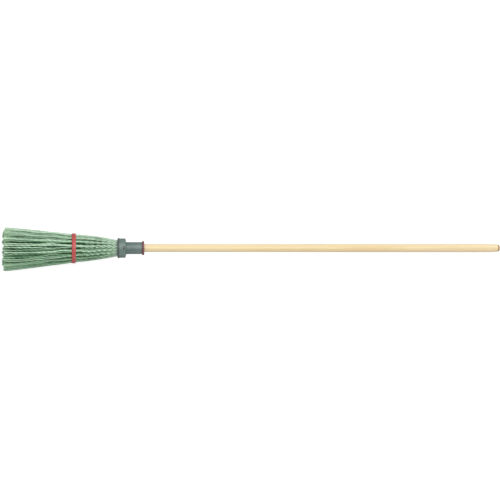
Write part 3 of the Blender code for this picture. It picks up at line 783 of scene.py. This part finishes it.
def bristlePaths(ringRadius, turn, chance):
    # a row of points from root to tip for each bristle of a tuft, in the standing broom's frame
    t, b = tuft, bundle
    outerRing = b["rings"][-1][1]
    ringShare = ringRadius / outerRing
    n, steps = t["bristles"], t["segments"]
    order = np.arange(n)
    rho = np.sqrt((order + 0.5) / n)
    phi = order * math.tau * t["spiral"] + chance.uniform(0, math.tau)
    own = np.stack([rho * np.cos(phi), rho * np.sin(phi)], 1)

    locks = len(t["lockPlaces"])
    wander = chance.uniform(-t["lockWander"], t["lockWander"], (locks, 2))
    lockCentres = np.array(t["lockPlaces"]) + wander
    lock = np.argmin(((own[:, None] - lockCentres[None]) ** 2).sum(2), 1)
    strayed = chance.random(n) < t["strays"]

    luck = (chance.uniform(0, 1, locks) + t["lockShift"]) % 1
    lockTip = t["lockRagged"] * (1 - luck ** t["lockPower"])
    reachOut = (ringShare * outerRing + own[:, 0] * t["plugRadius"]) / (outerRing + t["plugRadius"])
    reachOut = np.clip(reachOut, 0, 1)
    lobe = t["lobe"] * np.minimum(1, ((own - lockCentres[lock])[:, 1] / t["lobeWidth"]) ** 2)
    tipHeight = t["tipStart"] + lockTip[lock] + lobe + chance.uniform(0, t["ragged"], n)
    sideReach = math.pi / b["rings"][-1][0] * own[:, 1]
    fromMiddle = np.abs(reachOut * math.sin(turn) + ringShare * sideReach * math.cos(turn))
    tipHeight = tipHeight + t["cornerCut"] * smoothStep(fromMiddle, t["cornerStart"], 1.0)
    share = np.linspace(0, 1, steps + 1)
    share = share * (1 - t["rootCloseness"] * (1 - share))
    heights = b["rootHeight"] + (tipHeight[:, None] - b["rootHeight"]) * share[None]

    # how wide the tuft is, outwards and sideways
    envelope = bundleRadius(heights)
    fill = 1 + t["flare"] * smoothStep(-heights, -b["bendHeight"], 0)
    spread = envelope / (outerRing + t["plugRadius"] * fill)
    outHalf = t["plugRadius"] * spread * fill
    pitch = math.tau * outerRing * spread / b["rings"][-1][0]
    sideShare = t["sideShare"]
    for change, high, low in t["sideChanges"]:
        sideShare = sideShare + change * smoothStep(-heights, -high, -low)
    sideHalf = pitch / 2 * sideShare
    outHalf = outHalf * (t["outerSwell"] if ringShare == 1 else t["innerSwell"])
    if ringShare < 1:
        sideHalf = np.maximum(sideHalf, outHalf)
    centre = ringRadius * spread
    if ringRadius == b["rings"][0][1]:
        # the innermost tufts close over the middle
        inwards = smoothStep(-heights, -t["closeStart"], 0.0) * t["closeIn"]
        outHalf = outHalf + centre * inwards
        centre = centre * (1 - inwards)

    # each lock parts from its neighbours at its own height, and opens a little at the tips
    first, last = t["lockStart"]
    start = chance.uniform(last, first, locks)[lock][:, None]
    least = t["gatherLeast"]
    gather = least + (1 - least) * smoothStep(start - heights, 0, t["lockReach"])
    gather = gather * (1 - t["tipOpening"] * smoothStep(-heights, -t["tipOpeningReach"], 0.0))
    gather = np.where(strayed[:, None], gather * t["strayGather"], gather)
    strength = np.array((t["gatherOut"], t["gather"]))
    towards = (lockCentres[lock] - own)[:, None, :]
    pulled = own[:, None, :] + towards * gather[..., None] * strength

    # swings: each lock has its own slow wave, and each bristle a smaller one and its crimp
    away = b["rootHeight"] - heights
    held = np.exp(-((heights - b["bandHeight"]) / t["bandReach"]) ** 2)
    room = smoothStep(away, *t["swingStart"]) * (1 - t["bandHold"] * held)
    swing = slowSwing(chance, locks, t["waveKnots"], steps)[lock] * t["wave"]
    swing = swing + slowSwing(chance, n, t["ownKnots"], steps) * t["ownWave"]
    bowTurns = chance.uniform(*t["bowTurns"], (n, 1))
    bowStart = chance.uniform(0, math.tau, (n, 1))
    bow = np.sin(away / b["rootHeight"] * math.tau * bowTurns + bowStart)
    bowSize = np.where(strayed, t["strayBow"], t["bow"])[:, None, None]
    bow = bow[..., None] * chance.normal(0, 1, (n, 1, 2)) * bowSize
    # neighbouring locks crimp in turn, which makes the lattice beside the collar
    slant = np.where(chance.random(locks) < 0.5, -t["slant"], t["slant"])[lock] * own[:, 1]
    turns = math.pi * np.arange(locks) + chance.uniform(0, math.tau)
    turns = turns + chance.normal(0, t["lockPhase"], locks)
    phase = turns[lock] + slant + chance.normal(0, t["ownPhase"], n)
    facing = chance.normal(math.tau / 4, t["lockFacing"], locks)[lock]
    facing = facing + chance.normal(0, t["ownFacing"], n)
    crimp = np.sin(away * math.tau / t["crimp"] + phase[:, None]) * t["crimpDepth"]
    crimp = crimp * (1 + t["rootCrimp"] * smoothStep(heights, *t["rootCrimpFade"]))
    crimp = crimp[..., None] * np.stack([np.cos(facing), np.sin(facing)], 1)[:, None]
    crimp = crimp * smoothStep(away, 0.0, t["crimpStart"])[..., None]
    swing = (swing + bow) * room[..., None] + crimp

    out = centre + pulled[..., 0] * outHalf + swing[..., 0]
    side = pulled[..., 1] * sideHalf + swing[..., 1]
    # a bristle stays inside the bundle's cone
    reach = np.hypot(out, side)
    limit = envelope - t["thickness"] / 2
    soft = t["edgeSoftness"]
    kept = limit - soft * np.logaddexp(0, (limit - reach) / soft)
    keep = kept / np.maximum(reach, t["leastReach"])
    out, side = out * keep, side * keep
    x = out * math.cos(turn) - side * math.sin(turn)
    y = out * math.sin(turn) + side * math.cos(turn)
    y = y - b["drift"] * np.clip(b["bendHeight"] - heights, 0, None) / b["bendHeight"]
    # how deep a bristle lies inside the bundle, for its painted shade
    depth = np.clip((limit - reach * keep) / t["shadeDepth"], 0, 1)
    streak = 0.5 + 0.5 * np.sin(own[:, 1] * t["streaks"] * math.pi + chance.uniform(0, math.tau))
    return np.stack([x, y, heights], 2), lock, phase, depth, streak


def sweepBristles(template, paths):
    # the straight bristle's rings, carried to each point of each path and set square to it
    rings = np.array([v.co for v in template.data.vertices])
    steps = paths.shape[1]
    level = np.rint(rings[:, 2] * (steps - 1)).astype(int)
    ahead = np.gradient(paths, axis=1)
    ahead /= np.linalg.norm(ahead, axis=2, keepdims=True)
    first = np.cross(ahead, np.array([1.0, 0.0, 0.0]))
    first /= np.linalg.norm(first, axis=2, keepdims=True)
    second = np.cross(ahead, first)
    worn = smoothStep(level / (steps - 1), *tuft["frayedFrom"])
    wide = (1 + tuft["frayed"] * worn)[None, :, None]
    points = (
        paths[:, level]
        + first[:, level] * wide * rings[None, :, 0:1]
        + second[:, level] * wide * rings[None, :, 1:2]
    )
    return points, level


def buildTuft(number, ringRadius, turn, template, plug):
    t = tuft
    chance = np.random.default_rng(t["seed"] + number)
    paths, lock, phase, depth, streak = bristlePaths(ringRadius, turn, chance)
    points, level = sweepBristles(template, paths)
    n, perBristle = points.shape[:2]
    faces = [tuple(p.vertices) for p in template.data.polygons]
    allFaces = [tuple(i + k * perBristle for i in face) for k in range(n) for face in faces]

    plugPoints = np.array([v.co for v in plug.data.vertices])
    plugPoints = plugPoints + np.array([ringRadius * math.cos(turn), ringRadius * math.sin(turn), 0])
    allFaces += [tuple(i + n * perBristle for i in p.vertices) for p in plug.data.polygons]
    corners = np.concatenate([points.reshape(-1, 3), plugPoints])

    turned = np.array(layDown.to_3x3())
    placed = corners @ turned.T + np.array(layDown.translation)
    ground = t["groundGap"] + t["groundKeep"] * np.maximum(placed[:, 2], 0)
    placed[:, 2] = np.maximum(placed[:, 2], ground)
    placed = np.clip(placed, np.array(cadBounds[0]) + t["trim"], np.array(cadBounds[1]) - t["trim"])

    mesh = bpy.data.meshes.new(f"bristleTuft{number:02d}")
    mesh.from_pydata(placed.tolist(), [], allFaces)
    lockTint = chance.uniform(0, 1, len(t["lockPlaces"]))
    tint = t["lockTint"] * lockTint[lock] + t["streakTint"] * streak + t["ownTint"] * chance.random(n)
    # painted shade: the tufts on the side away from the key light are deeper in colour
    tint = smoothStep(tint - t["paintedSideShade"] * max(0, -math.sin(turn)), *t["tintSpread"])
    for name, values, plugValue in (
        ("tint", np.repeat(tint, perBristle), t["plugTint"]),
        ("phase", np.repeat(phase, perBristle), 0.0),
        ("depth", depth[:, level].reshape(-1), 1.0),
        ("height", points[..., 2].reshape(-1), bundle["rootHeight"]),
    ):
        whole = np.concatenate([values, np.full(len(plugPoints), plugValue)])
        mesh.attributes.new(name, "FLOAT", "POINT").data.foreach_set("value", whole.astype(np.float32))
    piece = addToScene(mesh.name, mesh)
    finishPiece(piece, bristlePlastic, "head", "bristle_green", f"bristle_tuft_{number:02d}")


def makeBristles():
    template = modelBristle()
    plug = modelPlug()
    number = 0
    for count, ringRadius, turnShare in bundle["rings"]:
        for i in range(count):
            number += 1
            buildTuft(number, ringRadius, math.tau * (i + turnShare) / count, template, plug)
    for helper in (template, plug):
        bpy.data.objects.remove(helper, do_unlink=True)
    print(number, "tufts of", tuft["bristles"], "bristles")


makeBristles()

# Tie band

band = {
    "height": bundle["bandHeight"],
    "width": 0.012,
    "wall": 0.0018,
    "clearance": 0.0004,
    "rounding": 0.0006,
    "skew": math.radians(0.66),
    "coneShare": 0.11273,  # how fast the bundle narrows
    "middleRadius": 0.04278,
    "sides": 128,
}


def makeBand():
    b = band
    half = b["width"] / 2
    lowerBore = b["middleRadius"] + b["coneShare"] * half + b["clearance"]
    upperBore = b["middleRadius"] - b["coneShare"] * half + b["clearance"]
    outer = b["middleRadius"] + b["clearance"] + b["wall"]
    outline = [(lowerBore, -half), (outer, -half), (outer, half), (upperBore, half), (lowerBore, -half)]
    piece = turnOutline("tieBand", outline, b["sides"])
    roundRings(piece, [(outer, -half), (outer, half)], b["rounding"])
    drift = -bundle["drift"] * (bundle["bendHeight"] - b["height"]) / bundle["bendHeight"]
    lift = Matrix.Translation((0, drift, b["height"])) @ Matrix.Rotation(b["skew"], 4, "X")
    putInPlace(piece, layDown @ lift)
    finishPiece(piece, bandPlastic, "band", "band_red", "tie_band")


makeBand()
print("tie band is on")

# Collar and neck

collar = {
    "mouth": 0.348,
    "end": 0.3710,
    "radius": 0.0291,
    "bore": 0.0263,
    "mouthRadius": 0.0252,
    "seat": 0.3537,  # where the plate rests inside
    "lipRadius": 0.0301,
    "lipWidth": 0.0056,
    "lipRounding": 0.0022,
    "lipSteps": 4,
    "rounding": 0.00025,
    "sides": 128,
    "pocketRadius": 0.0034,
    "pocketDepth": 0.0015,
    "pocketStretch": 2.1,
    "pocketSides": 40,
    "holeRadius": 0.0018,
    "holeDepth": 0.009,
    "screwHeight": 0.36665,
}


def cutPocket(piece, side):
    # an oval moulded pocket for a screw head, and the screw's hole under it
    c = collar
    stand = Matrix.Translation((c["radius"] * side, 0, c["screwHeight"]))
    stand = stand @ Matrix.Rotation(math.tau / 4, 4, "Y")
    for radius, depth, stretch in (
        (c["pocketRadius"], c["pocketDepth"], c["pocketStretch"]),
        (c["holeRadius"], c["holeDepth"], 1.0),
    ):
        startClean()
        bpy.ops.mesh.primitive_cylinder_add(vertices=c["pocketSides"], radius=radius, depth=depth * 2)
        carve(piece, stand @ Matrix.Diagonal((1, stretch, 1, 1)))


def makeCollar():
    c = collar
    step = c["lipRadius"] - c["radius"]
    lipEnd = c["mouth"] + c["lipWidth"]
    outline = [
        (c["mouthRadius"], c["mouth"]),
        (c["lipRadius"], c["mouth"]),
        (c["lipRadius"], lipEnd),
        (c["radius"], lipEnd + step),
        (c["radius"], c["end"]),
        (c["bore"], c["end"]),
        (c["bore"], c["seat"]),
        (c["mouthRadius"], c["seat"]),
        (c["mouthRadius"], c["mouth"]),
    ]
    piece = turnOutline("bristleCollar", outline, c["sides"])
    roundRings(piece, [(c["lipRadius"], c["mouth"])], c["lipRounding"], c["lipSteps"])
    smallRings = [(c["lipRadius"], lipEnd), (c["radius"], c["end"]), (c["mouthRadius"], c["mouth"])]
    roundRings(piece, smallRings, c["rounding"])
    for side in (1, -1):
        cutPocket(piece, side)
    putInPlace(piece, layDown)
    finishPiece(piece, collarPlastic, "head", "grey_plastic", "bristle_collar")


neck = {
    "rim": 0.3711,
    "rimHeight": 0.0006,
    "rimRounding": 0.0003,
    "shoulder": 0.0016,
    "radius": 0.018,
    "end": 0.4212,
    "endRounding": 0.0005,
    "fillet": 0.0014,
    "filletSteps": 4,
    "spigotRadius": 0.026,
    "spigot": 0.3625,
    "floor": 0.3753,
    "socketRoot": 0.0147,
    "socketMouth": 0.0153,
    "chamfer": 0.0005,
    "screwHole": 0.0023,
    "sides": 112,
}


def makeNeck():
    n = neck
    shoulderEnd = n["rim"] + n["shoulder"] + n["fillet"]
    rimRadius = collar["radius"]
    outline = [
        (n["spigotRadius"], n["rim"]),
        (rimRadius, n["rim"]),
        (rimRadius, n["rim"] + n["rimHeight"]),
        (n["radius"], shoulderEnd),
        (n["radius"], n["end"]),
        (n["socketMouth"] + n["chamfer"], n["end"]),
        (n["socketMouth"], n["end"] - n["chamfer"]),
        (n["socketRoot"], n["floor"]),
        (n["screwHole"], n["floor"]),
        (n["screwHole"], n["spigot"]),
        (n["spigotRadius"], n["spigot"]),
        (n["spigotRadius"], n["rim"]),
    ]
    piece = turnOutline("socketNeck", outline, n["sides"])
    roundRings(piece, [(n["radius"], shoulderEnd)], n["fillet"], n["filletSteps"])
    roundRings(piece, [(n["radius"], n["end"])], n["endRounding"])
    roundRings(piece, [(rimRadius, n["rim"] + n["rimHeight"])], n["rimRounding"])
    putInPlace(piece, layDown)
    finishPiece(piece, greyPlastic, "head", "grey_plastic", "socket_neck")


makeCollar()
makeNeck()
print("collar and neck are on")

# Grip sleeve

sleeve = {
    "base": 0.3799,
    "seat": 0.4215,
    "flangeRadius": 0.0211,
    "flangeThickness": 0.0066,
    "rounding": 0.0012,
    "roundingSteps": 5,
    "mouthRounding": 0.0004,
    "mouthSteps": 2,
    "sides": 96,
    "bore": 0.0123,
    "rootRadius": 0.01445,
    "mouthRadius": 0.015,
    "slots": 4,
    "slotWidth": 0.0022,
    "slotLength": 0.034,
    "slotReach": 0.06,  # across the whole sleeve, so that one cut makes two slots
}


def makeSleeve():
    s = sleeve
    top = s["seat"] + s["flangeThickness"]
    outline = [
        (s["bore"], s["base"]),
        (s["rootRadius"], s["base"]),
        (s["mouthRadius"], s["seat"]),
        (s["flangeRadius"], s["seat"]),
        (s["flangeRadius"], top),
        (s["bore"], top),
        (s["bore"], s["base"]),
    ]
    piece = turnOutline("gripSleeve", outline, s["sides"])
    flangeRings = [(s["flangeRadius"], top), (s["flangeRadius"], s["seat"])]
    roundRings(piece, flangeRings, s["rounding"], s["roundingSteps"])
    roundRings(piece, [(s["bore"], top)], s["mouthRounding"], s["mouthSteps"])
    size = Matrix.Diagonal((s["slotReach"], s["slotWidth"], s["slotLength"] * 2, 1))
    for i in range(s["slots"] // 2):
        startClean()
        bpy.ops.mesh.primitive_cube_add(size=1)
        turn = Matrix.Rotation(math.tau / s["slots"] * (i + 0.5), 4, "Z")
        carve(piece, Matrix.Translation((0, 0, s["base"])) @ turn @ size)
    putInPlace(piece, layDown)
    finishPiece(piece, sleevePlastic, "head", "sleeve_red", "grip_sleeve")


makeSleeve()
print("sleeve is in")

# Pole

pole = {
    "base": 0.3808,
    "radius": 0.012,
    "chamfer": 0.001,
    "taperLength": 0.034,
    "taperRadius": 0.0115,
    "taperEnd": 1.4840,
    "flatRadius": 0.0042,
    "domeSteps": 9,
    "sides": 96,
    "lengths": 24,  # these keep the long faces from being slivers
}


def makePole():
    p = pole
    end = broom["length"]
    dome = end - p["taperEnd"]
    taperStart = p["taperEnd"] - p["taperLength"]
    outline = [
        (p["radius"] - p["chamfer"], p["base"]),
        (p["radius"], p["base"] + p["chamfer"]),
        (p["radius"], taperStart),
    ]
    for step in range(p["domeSteps"] + 1):
        angle = math.tau / 4 * step / p["domeSteps"]
        across = p["flatRadius"] + (p["taperRadius"] - p["flatRadius"]) * math.cos(angle)
        outline.append((across, p["taperEnd"] + dome * math.sin(angle)))
    piece = turnOutline("handlePole", outline, p["sides"])
    onlySelect(piece)
    bpy.ops.object.mode_set(mode="EDIT")
    for i in range(1, p["lengths"]):
        height = p["base"] + (taperStart - p["base"]) * i / p["lengths"]
        bpy.ops.mesh.select_all(action="SELECT")
        bpy.ops.mesh.bisect(plane_co=(0, 0, height), plane_no=(0, 0, 1))
    bpy.ops.object.mode_set(mode="OBJECT")
    putInPlace(piece, layDown)
    finishPiece(piece, sealedWood, "pole", "pole_wood", "handle_pole")


makePole()
print("pole is in")

# Screws

screw = {
    "headRadius": 0.0031,
    "headHeight": 0.0012,
    "shankRadius": 0.0015,
    "shankLength": 0.0069,
    "point": 0.0015,
    "crossWidth": 0.0008,
    "crossDepth": 0.0007,
    "crossShare": 1.05,  # its length, as a share of the head's radius
    "faceShare": 0.3,  # the head's face starts from this share of its radius
    "pointShare": 0.4,
    "rounding": 0.0006,
    "roundingSteps": 4,
    "sides": 40,
}


def makeScrew(name, node, side):
    s = screw
    end = s["headHeight"] + s["shankLength"]
    outline = [
        (s["headRadius"] * s["faceShare"], 0),
        (s["headRadius"], 0),
        (s["headRadius"], s["headHeight"]),
        (s["shankRadius"], s["headHeight"]),
        (s["shankRadius"], end - s["point"]),
        (s["shankRadius"] * s["pointShare"], end),
    ]
    piece = turnOutline(name, outline, s["sides"])
    roundRings(piece, [(s["headRadius"], 0)], s["rounding"], s["roundingSteps"])
    crossLength = s["headRadius"] * s["crossShare"]
    size = Matrix.Diagonal((crossLength, s["crossWidth"], s["crossDepth"] * 2, 1))
    for i in range(2):
        startClean()
        bpy.ops.mesh.primitive_cube_add(size=1)
        carve(piece, Matrix.Rotation(math.tau / 4 * (i + 0.5), 4, "Z") @ size)
    stand = Matrix.Translation((collar["radius"] * side, 0, collar["screwHeight"]))
    putInPlace(piece, layDown @ stand @ Matrix.Rotation(-math.tau / 4 * side, 4, "Y"))
    finishPiece(piece, zincSteel, "head", "screw_steel", node)


makeScrew("collarScrewLower", "collar_screw_lower", 1)
makeScrew("collarScrewUpper", "collar_screw_upper", -1)
innerFinishes = {"tuft_plate": innerPlastic, "retainer_disc": innerPlastic, "centre_screw": zincSteel}
for nodeName, finish in innerFinishes.items():
    for place in frame["nodes"][nodeName].material_slots:
        place.material = finish
print("screws and inner pieces are finished")

# Floor, light and camera

studio = {
    "floorSize": 80.0,
    "floorColour": (0.5, 0.5, 0.5, 1.0),
    "floorSpeck": (0.52, 0.52, 0.52, 1.0),
    "speckScale": 3.0,
    "white": (1, 1, 1, 1),
    "floorGlow": 0.75,  # extra brightness of the floor, for the camera only
    "backdropStrength": 1.0,
    "worldStrength": 0.57,
    "keyStrength": 1.88,
    "keyAngle": math.radians(66),
    "keyFrom": (0.45, 0.47, 0.9),
    "fillStrength": 0.27,
    "fillAngle": math.radians(40),
    "fillFrom": (0.1, -1.0, 0.12),
    "lens": 600.0,
    "sensor": 36.0,
    "cameraAt": (-0.0027, -0.0026, 25.015),
    "farthest": 200,
}


def makeStudio():
    s = studio
    startClean()
    bpy.ops.mesh.primitive_plane_add(size=s["floorSize"])
    floor = bpy.context.object
    floor.name = "floor"
    material, tree, shader = newMaterial("paleFloor", {"Roughness": 0.9, "Specular IOR Level": 0.1})
    where = addNode(tree, "TexCoord")
    speck = noiseOn(tree, where.outputs["Object"], s["speckScale"], detail=2.0)
    base = mixColours(tree, speck, s["floorColour"], s["floorSpeck"])
    tree.links.new(base, shader.inputs["Base Color"])
    shader.inputs["Emission Color"].default_value = s["white"]
    seen = addNode(tree, "LightPath").outputs["Is Camera Ray"]
    tree.links.new(times(tree, seen, s["floorGlow"]), shader.inputs["Emission Strength"])
    floor.data.materials.append(material)

    # a dim room for the light, and a white one for the camera
    world = bpy.data.worlds.new("studioWorld")
    world.use_nodes = True
    tree = world.node_tree
    room = tree.nodes["Background"]
    backdrop = addNode(tree, "Background")
    for node, strength in ((room, s["worldStrength"]), (backdrop, s["backdropStrength"])):
        node.inputs["Color"].default_value = s["white"]
        node.inputs["Strength"].default_value = strength
    choice = addNode(tree, "MixShader")
    seen = addNode(tree, "LightPath")
    tree.links.new(seen.outputs["Is Camera Ray"], choice.inputs[0])
    tree.links.new(room.outputs[0], choice.inputs[1])
    tree.links.new(backdrop.outputs[0], choice.inputs[2])
    tree.links.new(choice.outputs[0], tree.nodes["World Output"].inputs["Surface"])
    bpy.context.scene.world = world

    for name in ("key", "fill"):
        light = bpy.data.lights.new(name + "Light", "SUN")
        light.energy = s[name + "Strength"]
        light.angle = s[name + "Angle"]
        lamp = addToScene(light.name, light)
        lamp.rotation_euler = Vector(s[name + "From"]).to_track_quat("Z", "Y").to_euler()

    lens = bpy.data.cameras.new("photoCamera")
    lens.lens = s["lens"]
    lens.sensor_width = s["sensor"]
    lens.clip_end = s["farthest"]
    camera = addToScene("photoCamera", lens)
    camera.location = s["cameraAt"]
    bpy.context.scene.camera = camera
    bpy.context.scene.view_settings.view_transform = "Standard"


makeStudio()
print("studio is set")
